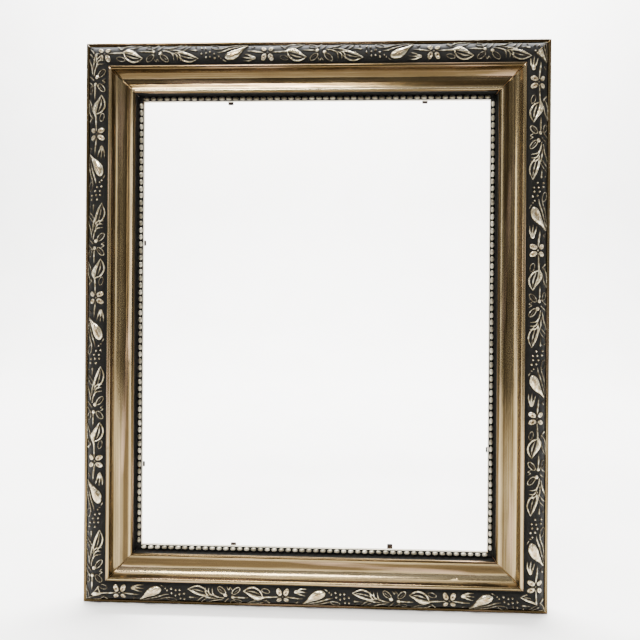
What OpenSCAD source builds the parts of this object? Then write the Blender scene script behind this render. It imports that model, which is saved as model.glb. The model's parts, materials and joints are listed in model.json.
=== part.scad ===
// Mitred picture frame: four gilt scoop rails with a pressed ornament band at the outer edge
// and a row of pearls at the sight edge. Front faces -Y, +Z is up, and the origin is under the
// middle of the bottom rail, half-way through the depth. Millimetres.

/* [Frame] */
// Overall width
frame_w = 459; // [420:1:700]
// Overall height
frame_h = 559; // [480:1:900]
// Depth of the rails, from the back to the top of the rim
rail_d = 30; // [28:0.5:36]

/* [Moulding section] */
// Width of the narrow gilt strip along the outer edge
strip_w = 3.8; // [3:0.1:4.4]
// Width of the ornament band
band_w = 22.7; // [21.5:0.1:23.5]
// Width of the raised rim beside the band
rim_w = 3.9; // [3.5:0.1:5]
// Width of the steep scoop inside the rim
scoop_w = 6.8; // [6:0.1:10]
// Width of the shallow hollow and the ogee ridge inside the scoop
ogee_w = 14; // [13.6:0.1:17]
// Width of the black ledge that carries the pearls
ledge_w = 6.3; // [6:0.1:8]

/* [Rebate] */
// How far the lip laps over the picture
lip_overlap = 4; // [3.5:0.5:5]
// Thickness of the lip
lip_t = 3.5; // [3:0.5:4]
// Depth of the rebate behind the lip
rebate_d = 10; // [8:0.5:12]

/* [Ornament] */
// Length of one repeat of the ornament
repeat_l = 161; // [140:0.5:180]
// How far the flowers and leaves stand above the black ground
relief_h = 1.4; // [0.8:0.1:1.8]

/* [Pearls] */
// Length of one pearl
pearl_l = 5.4; // [4:0.1:6]
// Thickness of one pearl
pearl_d = 3.6; // [3:0.1:4]
// Distance from one pearl to the next
pearl_pitch = 6.9; // [6.5:0.1:8]

/* [Framer's tabs] */
// Width of a flexible tab
tab_w = 5.5; // [4:0.5:8]
// Thickness of a tab
tab_t = 0.4; // [0.3:0.1:0.6]
// How far a middling tab's tip stands out past the lip
tab_reach = 0.9; // [0.8:0.1:2]
// Length of the end driven into the wood
tab_driven_l = 11; // [8:0.5:14]
// Height of the tabs above the back
tab_v = 4.5; // [4:0.5:5]

/* [Hangers] */
// Height of the ring hinges as a share of the frame's height
hanger_share = 0.67; // [0.6:0.01:0.8]
// Distance of the hangers from the outer edge
hanger_u = 26; // [20:1:34]
// Width of the strap
strap_w = 10; // [8:1:12]
// Length of the strap below the ring's hinge
strap_l = 32; // [31:1:40]
// Thickness of the strap
strap_t = 1; // [0.8:0.1:1]
// Diameter of the ring's wire
wire_d = 2.4; // [2:0.1:2.6]
// Width of the ring between the middles of its legs
ring_w = 15; // [14.5:0.5:20]

/* [Fixings] */
// Diameter of the hanger screws
screw_d = 3; // [2.5:0.5:3.5]
// Length of the hanger screws under the head
screw_l = 12; // [10:1:14]
// Depth of the V-nails in the mitres
v_nail_l = 10; // [7:1:12]

/* [Hidden] */
$fn = 48;
// The four sides, clockwise from the bottom as the front shows them
SIDES = ["bottom", "left", "top", "right"];
// How far each side's own frame turns about Y, and where its ornament's first flower lies,
// measured clockwise from the corner where the side starts
TURN = [0, 90, 180, -90];
FIRST_FLOWER = [96.6, 143.6, 22, 45.4];
// Each tab's name, side, place along that side from its middle, to the right when that side is
// underneath, and how much more or less than a middling tab it stands out
TABS = [
    ["top_left", 2, 86, 0.4],
    ["top_right", 2, -109, 0.1],
    ["bottom_left", 0, -80.5, -0.3],
    ["bottom_right", 0, 77, 1.6],
    ["left_upper", 1, -81, -0.7],
    ["left_lower", 1, 143.5, -0.6],
    ["right_lower", 3, -123.5, -0.4]
];
HANDS = ["left", "right"];
// One repeat of the ornament, measured from the middle of its flower.
// Round bosses as [s, u, radius]: the flower's petals and hub, the bird, the berries and dots
BOSSES = [
    [4, 19.3, 3.2], [-4, 19.3, 3.2], [3.6, 10.6, 2.8], [-3.6, 10.6, 2.8], [0, 14.8, 1.5],
    [-33, 16.7, 4.6],
    [-64.5, 15.7, 1.6], [-64.5, 10.2, 1.6], [-60, 19, 1.6], [-60, 14.9, 1.6], [-60.4, 10.8, 1.6],
    [-56, 18.7, 1.6], [-56, 13.8, 1.6], [-51.5, 20, 1.6], [-52.1, 16, 1.6],
    [-45.5, 20, 1.2], [-42.4, 20.6, 1.2], [-13.1, 8, 1.3], [13.2, 7.4, 1.4],
    [48.7, 13.2, 1.9], [56, 14.8, 1.9], [90, 9, 1.2], [86.2, 11.8, 1.5]
];
// Leaves, buds and stems as [s, u, length, width, turn]
LEAVES = [
    [-13.4, 13.6, 11, 1.6, 0], [14.4, 14, 11, 1.6, 0],
    [-17.2, 19.7, 12, 4.4, 0], [-25.4, 12.5, 18, 5, -35], [-38.3, 11.5, 20, 1.4, -6],
    [16.3, 19.6, 8, 4, 0], [28.3, 15.8, 20, 7, 18], [22.5, 7.7, 12, 1.8, 0], [41.2, 12.8, 13, 1.6, 0],
    [45.6, 19.4, 8.5, 4.4, 0], [59.9, 19.4, 8.5, 4.4, 0], [45, 8.7, 7, 2.4, 0],
    [65.6, 16.5, 11, 2.6, 40], [71.4, 18.1, 7, 2.2, 90], [75.7, 18.1, 8, 2.4, 90],
    [67.1, 9.6, 14, 1.6, -12], [71.8, 12.4, 10, 1.6, 12], [81.4, 9, 8, 1.6, -30],
    [86.2, 18.3, 18, 6.4, 8], [103.5, 9, 9, 2.6, 0]
];

GILT = [0.60, 0.54, 0.40];
BLACK = [0.13, 0.13, 0.13];
SILVER = [0.70, 0.67, 0.58];
STEEL = [0.30, 0.30, 0.32];
ZINC = [0.72, 0.72, 0.70];

// u runs inwards from the outer edge, v runs forwards from the back
u_band = strip_w;
u_rim = u_band + band_w;
u_scoop = u_rim + rim_w;
u_hollow = u_scoop + scoop_w;
u_ledge = u_hollow + ogee_w;
rail_w = u_ledge + ledge_w;
u_rebate = rail_w - lip_overlap;
v_ledge = rebate_d + lip_t;
v_strip = rail_d - 12;
v_low = rail_d - 9.5;
v_ridge = rail_d - 7.8;

// The ornament's ground is an arc across the band
arc_r = 15.7;
arc_u = u_band + 14.7;
arc_v = rail_d - 3 - arc_r;

pearl_u = rail_w - 0.4 - pearl_d / 2;
pearl_v = v_ledge + 1.1;

// Clearances: round a fixing in its hole, round the ring in its barrel, and off a tab's bend
snug = 0.02;
turning = 0.06;
bend_gap = 0.7;

barrel_r = wire_d / 2 + turning + 0.9;
hinge_v = strap_t + 0.4 + wire_d / 2;
hinge_z = hanger_share * frame_h;
ring_leg = 2;
// How far below the hinge the strap's two screws are
screw_drops = [18, 27];
head_r = 3;
head_h = 2;
v_nail_leg = 5.5;
v_nail_t = 0.4;

proud = hinge_v + barrel_r;
back_y = (rail_d - proud) / 2;

function side_l(k) = k % 2 == 0 ? frame_w : frame_h;
function off_middle(k) = k % 2 == 0 ? frame_h / 2 : frame_w / 2;

// Points of a curve from a to c that heads for b, without its first point
function bow(a, b, c, n = 8) =
    [for (i = [1 : n]) let (t = i / n) (1 - t) * (1 - t) * a + 2 * t * (1 - t) * b + t * t * c];

// The seat under the ornament, from the outer strip to the rim, as [u, v]
function seat_points() = [
    [u_band, v_strip - 3],
    [u_band + 7, rail_d - 9],
    [u_band + 15, rail_d - 6],
    [u_rim, rail_d - 6.8]
];

// The rail's section as [u, v]
function rail_outline() =
    let (
        strip_low = v_strip - 1.5,
        strip_top = [strip_w / 2, v_strip],
        rim_low = rail_d - 1.8,
        rim_top = [u_rim + rim_w / 2, rail_d],
        scoop_mid = [u_scoop + 2.2, rail_d - 6.2],
        scoop_end = [u_hollow, v_low],
        lowest = [u_hollow + 2.8, v_low - 0.6],
        rise = [u_hollow + 6.6, v_low + 0.2],
        ridge = [u_hollow + 11.6, v_ridge],
        ridge_end = [u_ledge - 0.9, v_ridge - 0.4]
    )
    concat(
        [[0, 0], [0, strip_low]],
        bow([0, strip_low], [0, v_strip], strip_top, 4),
        bow(strip_top, [strip_w, v_strip], [strip_w, strip_low], 4),
        seat_points(),
        [[u_rim, rim_low]],
        bow([u_rim, rim_low], [u_rim, rail_d], rim_top, 4),
        bow(rim_top, [u_scoop, rail_d], [u_scoop, rim_low], 4),
        bow([u_scoop, rim_low], [u_scoop + 1, rail_d - 4.6], scoop_mid, 6),
        bow(scoop_mid, [u_scoop + 4, rail_d - 8.3], scoop_end, 7),
        bow(scoop_end, [u_hollow + 1.2, v_low - 0.5], lowest, 4),
        bow(lowest, [u_hollow + 5, v_low - 0.6], rise, 6),
        bow(rise, [u_hollow + 8.7, v_ridge - 0.3], ridge, 8),
        bow(ridge, [u_hollow + 12.5, v_ridge + 0.1], ridge_end, 4),
        bow(ridge_end, [u_ledge - 0.4, v_ridge - 0.8], [u_ledge, v_ridge - 1.8], 3),
        [[u_ledge, v_ledge], [rail_w, v_ledge], [rail_w, rebate_d], [u_rebate, rebate_d], [u_rebate, 0]]
    );

// A side's own frame: x along it from its middle, u as +Z from the outer edge, v as -Y
module place(k) {
    translate([0, back_y, frame_h / 2])
        rotate([0, TURN[k], 0])
            translate([0, 0, -off_middle(k)])
                children();
}

// A [u, v] section run along side k
module run(k) {
    rotate([90, 0, 90])
        linear_extrude(height = side_l(k), center = true)
            rotate(90)
                children();
}

// All that lies between side k's two mitre cuts, from v = low forwards
module between_mitres(k, low = -5) {
    half = side_l(k) / 2;
    translate([0, -low, 0])
        rotate([90, 0, 0])
            linear_extrude(height = rail_d + 10)
                polygon([[-half, 0], [half, 0], [half - rail_w, rail_w], [rail_w - half, rail_w]]);
}

module rail(k) {
    color(GILT)
    difference() {
        place(k)
            intersection() {
                run(k)
                    polygon(rail_outline());
                between_mitres(k);
            }
        v_nail_pair(k, snug);
        v_nail_pair((k + 3) % 4, snug);
        for (i = [0 : len(TABS) - 1])
            if (TABS[i][1] == k)
                tab_shank_shape(i, snug);
        if (k == 1)
            screw_shafts(0, screw_d / 2 + snug, 0.5);
        if (k == 3)
            screw_shafts(1, screw_d / 2 + snug, 0.5);
    }
}

// Moves to the ground of the ornament on side k, s clockwise from the corner where the side
// starts and u from its outer edge. X runs clockwise, Y inwards and Z straight out
module on_ground(k, s, u) {
    lean = asin((u - arc_u) / arc_r);
    translate([side_l(k) / 2 - s, -arc_v - arc_r * cos(lean), arc_u + arc_r * sin(lean)])
        rotate([90 - lean, 0, 0])
            mirror([1, 0, 0])
                children();
}

// A pointed leaf that stands up from the ground
module leaf(l, w) {
    r = (l * l + w * w) / (4 * w);
    translate([0, 0, -1.2])
        linear_extrude(height = relief_h + 1.2)
            intersection_for (side = [-1, 1])
                translate([0, side * (r - w / 2)])
                    circle(r = r, $fn = 96);
}

// A round boss that stands up from the ground by half its radius
module boss(r) {
    translate([0, 0, -r / 2])
        sphere(r = r, $fn = 32);
}

module ornament(k) {
    repeats = ceil(side_l(k) / repeat_l);
    color(BLACK)
    place(k)
        intersection() {
            union() {
                run(k)
                    translate([arc_u, arc_v])
                        circle(r = arc_r, $fn = 96);
                for (n = [-1 : repeats]) {
                    start = FIRST_FLOWER[k] + n * repeat_l;
                    for (b = BOSSES)
                        if (start + b[0] > b[1] && start + b[0] < side_l(k) - b[1])
                            on_ground(k, start + b[0], b[1])
                                boss(b[2]);
                    for (f = LEAVES)
                        if (start + f[0] > f[1] && start + f[0] < side_l(k) - f[1])
                            on_ground(k, start + f[0], f[1])
                                rotate(f[4])
                                    leaf(f[2], f[3]);
                }
            }
            run(k)
                polygon(concat(seat_points(), [[u_rim, rail_d], [u_band, rail_d]]));
            between_mitres(k);
        }
}

module pearl() {
    core = pearl_l - pearl_d;
    rotate([0, 90, 0])
        rotate_extrude($fn = 32)
            intersection() {
                union() {
                    for (end = [-core / 2, core / 2])
                        translate([0, end])
                            circle(d = pearl_d, $fn = 32);
                    translate([0, -core / 2])
                        square([pearl_d / 2, core]);
                }
                translate([0, -pearl_l])
                    square([pearl_d, 2 * pearl_l]);
            }
}

module pearls(k) {
    room = side_l(k) - 2 * pearl_u - 2 * pearl_d;
    last = floor(room / pearl_pitch);
    color(SILVER)
    place(k)
        intersection() {
            union() {
                run(k)
                    translate([rail_w - 4.6, v_ledge])
                        square([4.3, 0.9]);
                for (n = [0 : last])
                    translate([(n - last / 2) * pearl_pitch, -pearl_v, pearl_u])
                        pearl();
            }
            between_mitres(k, v_ledge);
        }
}

// Moves to tab i, on the face of the rebate, with Z towards the opening
module at_tab(i) {
    place(TABS[i][1])
        translate([TABS[i][2], -tab_v, u_rebate])
            children();
}

module tab_shank_shape(i, gap = 0) {
    w = tab_w / 2 + gap;
    shoulder = 4 - tab_driven_l;
    at_tab(i)
        rotate([90, 0, 0])
            linear_extrude(height = tab_t + 2 * gap, center = true)
                polygon([[-w, gap], [w, gap], [w, shoulder], [0, -tab_driven_l - gap], [-w, shoulder]]);
}

module tab_shank(i) {
    color(STEEL)
    tab_shank_shape(i);
}

// The free end of tab i, from its bend
module tab_blade(i) {
    w = tab_w / 2;
    l = lip_overlap - bend_gap + tab_reach + TABS[i][3];
    corner = 0.8;
    color(STEEL)
    at_tab(i)
        translate([0, 0, bend_gap])
            rotate([90, 0, 0])
                linear_extrude(height = tab_t, center = true)
                    polygon([
                        [-w, 0],
                        [w, 0],
                        [w, l - corner],
                        [w - corner, l],
                        [corner - w, l],
                        [-w, l - corner]
                    ]);
}

// Moves to the ring's hinge on hanger h, 0 on the left and 1 on the right
module at_hanger(h) {
    translate([(2 * h - 1) * (frame_w / 2 - hanger_u), back_y + hinge_v, hinge_z])
        children();
}

module hanger_strap(h) {
    color(ZINC)
    at_hanger(h)
        difference() {
            union() {
                rotate([0, 90, 0])
                    cylinder(r = barrel_r, h = strap_w, center = true);
                translate([0, strap_t - hinge_v, 0])
                    rotate([90, 0, 0])
                        linear_extrude(height = strap_t) {
                            translate([0, strap_w / 2 - strap_l])
                                circle(d = strap_w);
                            translate([-strap_w / 2, strap_w / 2 - strap_l])
                                square([strap_w, strap_l - strap_w / 2]);
                        }
            }
            rotate([0, 90, 0])
                cylinder(r = wire_d / 2 + turning, h = strap_w + 2, center = true);
            for (drop = screw_drops)
                translate([0, 0, -drop])
                    rotate([90, 0, 0])
                        cylinder(r = screw_d / 2 + 0.2, h = 10, center = true);
        }
}

module hanger_ring(h) {
    r = wire_d / 2;
    bend = ring_w / 2;
    color(ZINC)
    at_hanger(h) {
        rotate([0, 90, 0])
            cylinder(r = r, h = ring_w, center = true);
        for (x = [-bend, bend])
            translate([x, 0, 0]) {
                sphere(r = r);
                translate([0, 0, -ring_leg])
                    cylinder(r = r, h = ring_leg);
            }
        translate([0, 0, -ring_leg])
            rotate([90, 0, 0])
                rotate([0, 0, 180])
                    rotate_extrude(angle = 180)
                        translate([bend, 0])
                            circle(r = r);
    }
}

// The shafts of hanger h's screws, from the strap's face into the rail
module screw_shafts(h, r, extra = 0) {
    at_hanger(h)
        for (drop = screw_drops)
            translate([0, strap_t - hinge_v, -drop])
                rotate([90, 0, 0]) {
                    cylinder(r = r, h = screw_l - 3);
                    translate([0, 0, screw_l - 3])
                        cylinder(r1 = r, r2 = extra > 0 ? r : 0.2, h = 3 + extra);
                }
}

module screw_heads(h) {
    slot_w = 0.7;
    at_hanger(h)
        for (drop = screw_drops)
            translate([0, strap_t - hinge_v, -drop])
                rotate([-90, 0, 0])
                    difference() {
                        union() {
                            cylinder(r = head_r, h = 1);
                            translate([0, 0, 1])
                                cylinder(r1 = head_r, r2 = 2, h = head_h - 1);
                        }
                        for (way = [0, 90])
                            rotate(way)
                                translate([-1.6, -slot_w / 2, head_h - 1])
                                    cube([3.2, slot_w, 2]);
                    }
}

module hanger_screws() {
    color(ZINC)
    for (h = [0, 1]) {
        screw_shafts(h, screw_d / 2);
        screw_heads(h);
    }
}

// The V-nails across the mitre at the clockwise end of side k, let in from the back
module v_nail_pair(k, gap = 0) {
    place(k)
        for (along = [17, 36])
            translate([along - side_l(k) / 2, gap, along])
                rotate([90, 0, 0])
                    linear_extrude(height = v_nail_l + 2 * gap)
                        for (way = [15, 75])
                            rotate(way)
                                translate([-gap, -v_nail_t / 2 - gap])
                                    square([v_nail_leg + 2 * gap, v_nail_t + 2 * gap]);
}

module corner_v_nails() {
    color(STEEL)
    for (k = [0 : 3])
        v_nail_pair(k);
}

for (k = [0 : 3]) {
    rail(k);
    ornament(k);
    pearls(k);
}
for (i = [0 : len(TABS) - 1]) {
    tab_blade(i);
    tab_shank(i);
}
for (h = [0, 1]) {
    hanger_strap(h);
    hanger_ring(h);
}
hanger_screws();
corner_v_nails();
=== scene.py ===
"""Looks of the mitred picture frame: gilt scoop rails, pressed black ornament band with rubbed
silver-gold relief, pearled sight edge, framer's tabs, ring hangers and V-nails.
Lengths are millimetres until a mesh is made, then metres."""

import json
import math
import random

import bpy
import numpy as np
from mathutils import Matrix, Vector


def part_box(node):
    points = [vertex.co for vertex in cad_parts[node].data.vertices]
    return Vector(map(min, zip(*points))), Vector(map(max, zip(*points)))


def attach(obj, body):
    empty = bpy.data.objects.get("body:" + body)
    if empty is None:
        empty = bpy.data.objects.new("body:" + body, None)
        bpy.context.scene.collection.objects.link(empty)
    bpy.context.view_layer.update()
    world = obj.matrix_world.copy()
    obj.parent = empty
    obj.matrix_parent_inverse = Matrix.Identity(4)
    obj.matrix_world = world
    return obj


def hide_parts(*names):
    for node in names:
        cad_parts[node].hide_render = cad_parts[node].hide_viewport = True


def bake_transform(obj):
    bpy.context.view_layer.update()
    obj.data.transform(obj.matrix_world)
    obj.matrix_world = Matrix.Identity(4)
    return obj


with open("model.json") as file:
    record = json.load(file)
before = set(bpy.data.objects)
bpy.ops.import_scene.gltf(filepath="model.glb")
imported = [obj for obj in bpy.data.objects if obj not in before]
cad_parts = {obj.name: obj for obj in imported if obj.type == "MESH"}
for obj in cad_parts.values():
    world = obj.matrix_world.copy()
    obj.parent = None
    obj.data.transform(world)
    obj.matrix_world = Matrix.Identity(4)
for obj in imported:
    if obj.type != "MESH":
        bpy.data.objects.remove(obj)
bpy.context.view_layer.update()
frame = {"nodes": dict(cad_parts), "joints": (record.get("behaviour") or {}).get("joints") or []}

SIDES = ("bottom", "left", "top", "right")


def mm(corner):
    """A corner of the frame's boxes in millimetres."""
    return [c * 1000.0 for c in corner]


rail_low, rail_high = (mm(c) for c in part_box("bottom_rail"))
W = rail_high[0] - rail_low[0]
H = mm(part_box("left_rail")[1])[2]
BACK = rail_high[1]
DEPTH = rail_high[1] - rail_low[1]
RAIL_W = rail_high[2]
# places across the rail, from its outer edge inwards
STRIP = 3.8                  # inner edge of the gilt outer strip
GUTTER = 26.5                # where the ornament band meets the rim
RIM = 30.4                   # inner edge of the rim
SCOOP = RIM + 2.2            # where the scoop turns from its wall to its slope
HOLLOW = 37.2                # foot of the scoop
RISE = HOLLOW + 6.6          # where the ogee starts to rise
CREST = HOLLOW + 11.6        # top of the ogee ridge
LEDGE = RAIL_W - 6.3         # edge of the black channel
REBATE = RAIL_W - 4.0        # wall of the rebate, behind the lip
# places forwards from the back
LEDGE_V = 13.5               # face of the black channel
REBATE_V = 10.0              # floor of the rebate
# the ornament band's face is an arc about (ARC_U, ARC_V)
ARC_U, ARC_V, ARC_R = STRIP + 14.7, DEPTH - 18.7, 15.7


def side_l(k):
    """Length of side k, counted clockwise from the bottom."""
    return W if k % 2 == 0 else H


def to_world(k, x, u, v):
    """Side k's own frame (x along it, u inwards, v forwards) to the row frame, as an array."""
    y = BACK - v
    if k == 0:
        p = (x, y, u)
    elif k == 1:
        p = (u - W / 2, y, H / 2 - x)
    elif k == 2:
        p = (-x, y, H - u)
    else:
        p = (W / 2 - u, y, H / 2 + x)
    return np.stack(np.broadcast_arrays(*p), -1).astype(float)


def value_noise(x, seed, octaves=3):
    """Smooth noise of one variable, roughly -1 to 1, the same on every run."""
    x = np.asarray(x, float)
    total = np.zeros_like(x)
    size = 0.0
    for o in range(octaves):
        f = 2.0 ** o
        rng = np.random.RandomState(seed * 17 + o)
        table = rng.uniform(-1, 1, 512)
        q = x * f + 71.3 * o
        i = np.floor(q).astype(int)
        t = q - i
        t = t * t * (3 - 2 * t)
        total += (table[i % 512] * (1 - t) + table[(i + 1) % 512] * t) / f
        size += 1 / f
    return total / size


# ---------------------------------------------------------------- meshes

def make_object(name, verts, faces, materials, face_slots=None, floats=None, vectors=None, smooth=True):
    mesh = bpy.data.meshes.new(name)
    mesh.from_pydata((np.asarray(verts) / 1000.0).tolist(), [], faces)
    for m in materials:
        mesh.materials.append(m)
    if face_slots is not None:
        mesh.polygons.foreach_set("material_index", np.asarray(face_slots, np.int32))
    for key, values in (floats or {}).items():
        a = mesh.attributes.new(key, "FLOAT", "POINT")
        a.data.foreach_set("value", np.asarray(values, np.float32))
    for key, values in (vectors or {}).items():
        a = mesh.attributes.new(key, "FLOAT_VECTOR", "POINT")
        a.data.foreach_set("vector", np.asarray(values, np.float32).ravel())
    mesh.update()
    if smooth:
        mesh.polygons.foreach_set("use_smooth", np.ones(len(mesh.polygons), bool))
    mesh.validate()
    ob = bpy.data.objects.new(name, mesh)
    bpy.context.collection.objects.link(ob)
    return ob


def volume(verts, faces):
    """Signed volume, negative if the faces are wound inwards."""
    total = 0.0
    v = np.asarray(verts)
    for f in faces:
        a = v[f[0]]
        for i in range(1, len(f) - 1):
            total += np.dot(a, np.cross(v[f[i]], v[f[i + 1]]))
    return total / 6


def loft(rows):
    """Faces over rows of points, rows[j][i]; each row is a closed section. Wound outwards, with end caps."""
    m, n = rows.shape[:2]
    verts = rows.reshape(-1, 3)
    j, i = np.meshgrid(np.arange(m - 1), np.arange(n), indexing="ij")
    i2 = (i + 1) % n
    quads = np.stack([j * n + i, j * n + i2, (j + 1) * n + i2, (j + 1) * n + i], -1).reshape(-1, 4)
    faces = quads.tolist()
    segment = i.reshape(-1).tolist()
    faces.append([k for k in range(n)][::-1])
    faces.append([(m - 1) * n + k for k in range(n)])
    segment += [-1, -1]
    if volume(verts - verts.mean(0), faces) < 0:
        faces = [f[::-1] for f in faces]
    return verts, faces, segment


def bow(a, b, c, n):
    """n points on the curve from a to c that b pulls towards itself, without a."""
    t = (np.arange(n) + 1)[:, None] / n
    a, b, c = (np.array(p, float) for p in (a, b, c))
    return ((1 - t) ** 2 * a + 2 * t * (1 - t) * b + t * t * c).tolist()


def rail_section():
    """Points (u, v) round the rail's section, with each point's zone, tone and waviness. The gilding's tones
    are partly rubbed wear and partly painted highlight and painted shade.
    """
    D = DEPTH
    low = D - 9.5            # foot of the scoop
    ridge = D - 7.9          # top of the ogee ridge
    strip_v = D - 12.0       # face of the outer strip
    rim_low = D - 1.8        # where the rim's roundings start
    out = []

    def add(points, zone, tone, wave=0.0):
        tones = tone if isinstance(tone, (list, tuple)) else (tone, tone)
        for i, p in enumerate(points):
            f = (i + 1) / len(points)
            out.append((p[0], p[1], zone, tones[0] + (tones[1] - tones[0]) * f, wave))

    # the tones given to the gilding are partly rubbed wear and partly painted highlight and painted shade,
    # lighter or darker by how the light falls on each slope
    def gild(a, b, c, n, tones, wave=1.0):
        add(bow(a, b, c, n), "gold", tones, wave)

    # outer side and outer strip
    add([(0, v) for v in (0.0, 0.3, 4, 8, 12, 15.4)], "side", 0.35)
    add([(0, strip_v - 1.5)], "side", 0.45)
    gild((0, strip_v - 1.5), (0, strip_v), (STRIP / 2, strip_v), 6, (-0.3, -0.1), 0.5)
    gild((STRIP / 2, strip_v), (STRIP, strip_v), (STRIP, strip_v - 1.5), 6, (0.0, -0.5), 0.5)
    # seat of the ornament band
    add([(STRIP, strip_v - 3), (STRIP + 7, D - 9), (STRIP + 15, D - 6), (GUTTER, D - 6.8)], "black", 0.0)
    add([(GUTTER, D - 4.6), (GUTTER, D - 3.0)], "black", 0.0)
    # rim
    add([(GUTTER, rim_low)], "black", 0.12)
    add(bow((GUTTER, rim_low), (GUTTER, D - 0.75), (GUTTER + 0.45, D - 0.45), 4), "black", 0.1, 1.0)
    gild((GUTTER + 0.45, D - 0.45), (GUTTER + 1, D), (GUTTER + 2, D), 6, (-0.6, 0.5))
    gild((GUTTER + 2, D), (RIM, D), (RIM, rim_low), 8, (0.45, -0.1))
    # scoop
    gild((RIM, rim_low), (RIM + 1, D - 4.6), (SCOOP, D - 6.2), 14, (0.0, 0.2))
    gild((SCOOP, D - 6.2), (RIM + 4, D - 8.3), (HOLLOW, low), 16, (0.35, 0.65))
    # shallow hollow
    gild((HOLLOW, low), (HOLLOW + 1.2, low - 0.3), (HOLLOW + 2.8, low - 0.3), 6, (0.55, 0.3))
    gild((HOLLOW + 2.8, low - 0.3), (HOLLOW + 5, low - 0.3), (RISE, low + 0.2), 9, (0.25, 0.0))
    # ogee ridge
    gild((RISE, low + 0.2), (HOLLOW + 9.3, low + 0.65), (CREST, ridge), 12, (-0.1, 0.8))
    gild((CREST, ridge), (HOLLOW + 12.5, ridge + 0.1), (LEDGE - 0.9, ridge - 0.4), 7, (0.35, 0.0))
    gild((LEDGE - 0.9, ridge - 0.4), (LEDGE - 0.4, ridge - 0.8), (LEDGE, ridge - 1.8), 6, (-0.1, -0.5))
    # black channel
    add([(LEDGE, ridge - 3.2), (LEDGE, LEDGE_V)], "black", 0.0)
    add([(LEDGE + 3, LEDGE_V), (RAIL_W - 0.5, LEDGE_V), (RAIL_W - 0.12, LEDGE_V - 0.05)], "black", 0.0)
    # lip, rebate and back
    add([(RAIL_W, LEDGE_V - 0.3), (RAIL_W, REBATE_V + 0.15)], "lip", 0.4)
    add([(RAIL_W - 0.15, REBATE_V), (REBATE, REBATE_V)], "raw", 0.4)
    add([(REBATE, 5.0), (REBATE, 0.25), (REBATE - 0.3, 0.0)], "raw", 0.4)
    add([(40, 0.0), (26, 0.0), (12, 0.0), (0.3, 0.0)], "raw", 0.4)
    return out


ZONES = ("gold", "black", "side", "lip", "raw")
# rim, head and foot of the scoop, hollow, rise and ridge: where the gilding's tone is set
PARTS = (RIM - 1.5, RIM + 2.5, HOLLOW - 1.0, HOLLOW + 3.0, HOLLOW + 8.0, HOLLOW + 11.0)
# painted highlight and painted shade: how much lighter or darker it is there than the section's own tones,
# on each side, for how the light falls on that side
GILT_LIGHT_AND_SHADE = (
    (0.0, 0.0, 0.2, -0.3, -0.4, -0.3),
    (0.2, -0.1, -0.3, -0.1, -0.3, -0.1),
    (-0.3, -0.4, -0.6, -0.1, -0.3, 0.2),
    (0.3, 0.3, -0.5, -0.1, 0.0, -0.1),
)
MITRE_GAP = (0.05, 0.07, 0.16, 0.2)      # half the gap at each side's clockwise end
# small knocks on each side as (x, u, radius, depth)
NICKS = (
    ((138, 34.2, 1.2, 0.8), (-66, 28.3, 0.9, 0.25), (-190, 1.2, 1.0, 0.4), (96, 1.0, 1.2, 0.4)),
    ((120, 28.5, 1.0, 0.3), (-30, 1.5, 1.2, 0.4), (40, 46.8, 0.8, 0.2)),
    ((-60, 28.0, 1.0, 0.3), (130, 1.4, 1.2, 0.4), (20, 47.0, 0.7, 0.2)),
    ((60, 28.2, 1.0, 0.3), (-150, 1.5, 1.2, 0.5), (-110, 46.5, 0.8, 0.2)),
)


def rail_mesh(k, materials):
    """The gilded rail of side k, with mitred ends, slightly wavy faces and knocks."""
    sec = rail_section()
    u = np.array([p[0] for p in sec])
    v = np.array([p[1] for p in sec])
    zone = [p[2] for p in sec]
    tone = np.array([p[3] for p in sec])
    wave = np.array([p[4] for p in sec])
    # painted highlight and painted shade, different on each side, go into the gilding's tones
    tone = tone + (wave > 0) * np.interp(u, PARTS, GILT_LIGHT_AND_SHADE[k])
    half = side_l(k) / 2
    ends = np.array([0, 0.15, 0.4, 0.8, 1.4, 2.2, 3.4, 5.0, 7.0])
    middle = np.linspace(-half + 9, half - 9, int(side_l(k) / 2.6))
    centre = np.concatenate([-half + ends, middle, (half - ends)[::-1]])
    t = centre / half
    # clockwise runs towards -x; the gap opens only near the ends
    gap = np.where(t < 0, MITRE_GAP[k], MITRE_GAP[(k + 3) % 4])
    pull = np.sign(t) * gap * np.clip(np.abs(t) * 12 - 11, 0, 1)
    x = t[:, None] * (half - u[None, :]) - pull[:, None]
    to_mitre = (half - u[None, :]) - np.abs(x)
    long_wave = value_noise(x / 46.0 + 0.1 * u, 11 + k, 3)
    short_wave = value_noise(x / 13.0 + 0.4 * u, 31 + k, 2)
    dv = wave * (0.05 * long_wave + 0.03 * short_wave)
    du = wave * 0.05 * value_noise(x / 37.0 + 0.05 * u, 51 + k, 3)
    # the mitred edges are a little worn down
    dv = dv - wave * 0.35 * np.exp(-np.clip(to_mitre, 0, None) / 0.5)
    vv = np.clip(v[None, :] + dv, 0, DEPTH)
    uu = u[None, :] + du
    for nx, nu, r, depth in NICKS[k]:
        d2 = ((x - nx) / (1.6 * r)) ** 2 + ((uu - nu) / r) ** 2
        vv = vv - (wave > 0) * depth * np.exp(-d2 * 2)
    rows = to_world(k, x, uu, vv)
    verts, faces, segment = loft(rows)
    # a face takes the zone of its section segment's far point
    n = len(sec)
    slots = [ZONES.index(zone[(s + 1) % n]) if s >= 0 else ZONES.index("raw") for s in segment]
    run = np.stack([x, uu, vv], -1).reshape(-1, 3)
    ob = make_object(
        f"{SIDES[k]}_rail_look", verts, faces, [materials[z] for z in ZONES], slots,
        floats={
            "tone": np.broadcast_to(tone, x.shape).reshape(-1),
            "mitre": np.clip(to_mitre, 0, 50).reshape(-1),
        },
        vectors={"run": run},
    )
    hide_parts(f"{SIDES[k]}_rail")
    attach(ob, "frame")


# ---------------------------------------------------------------- the pressed ornament

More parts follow.
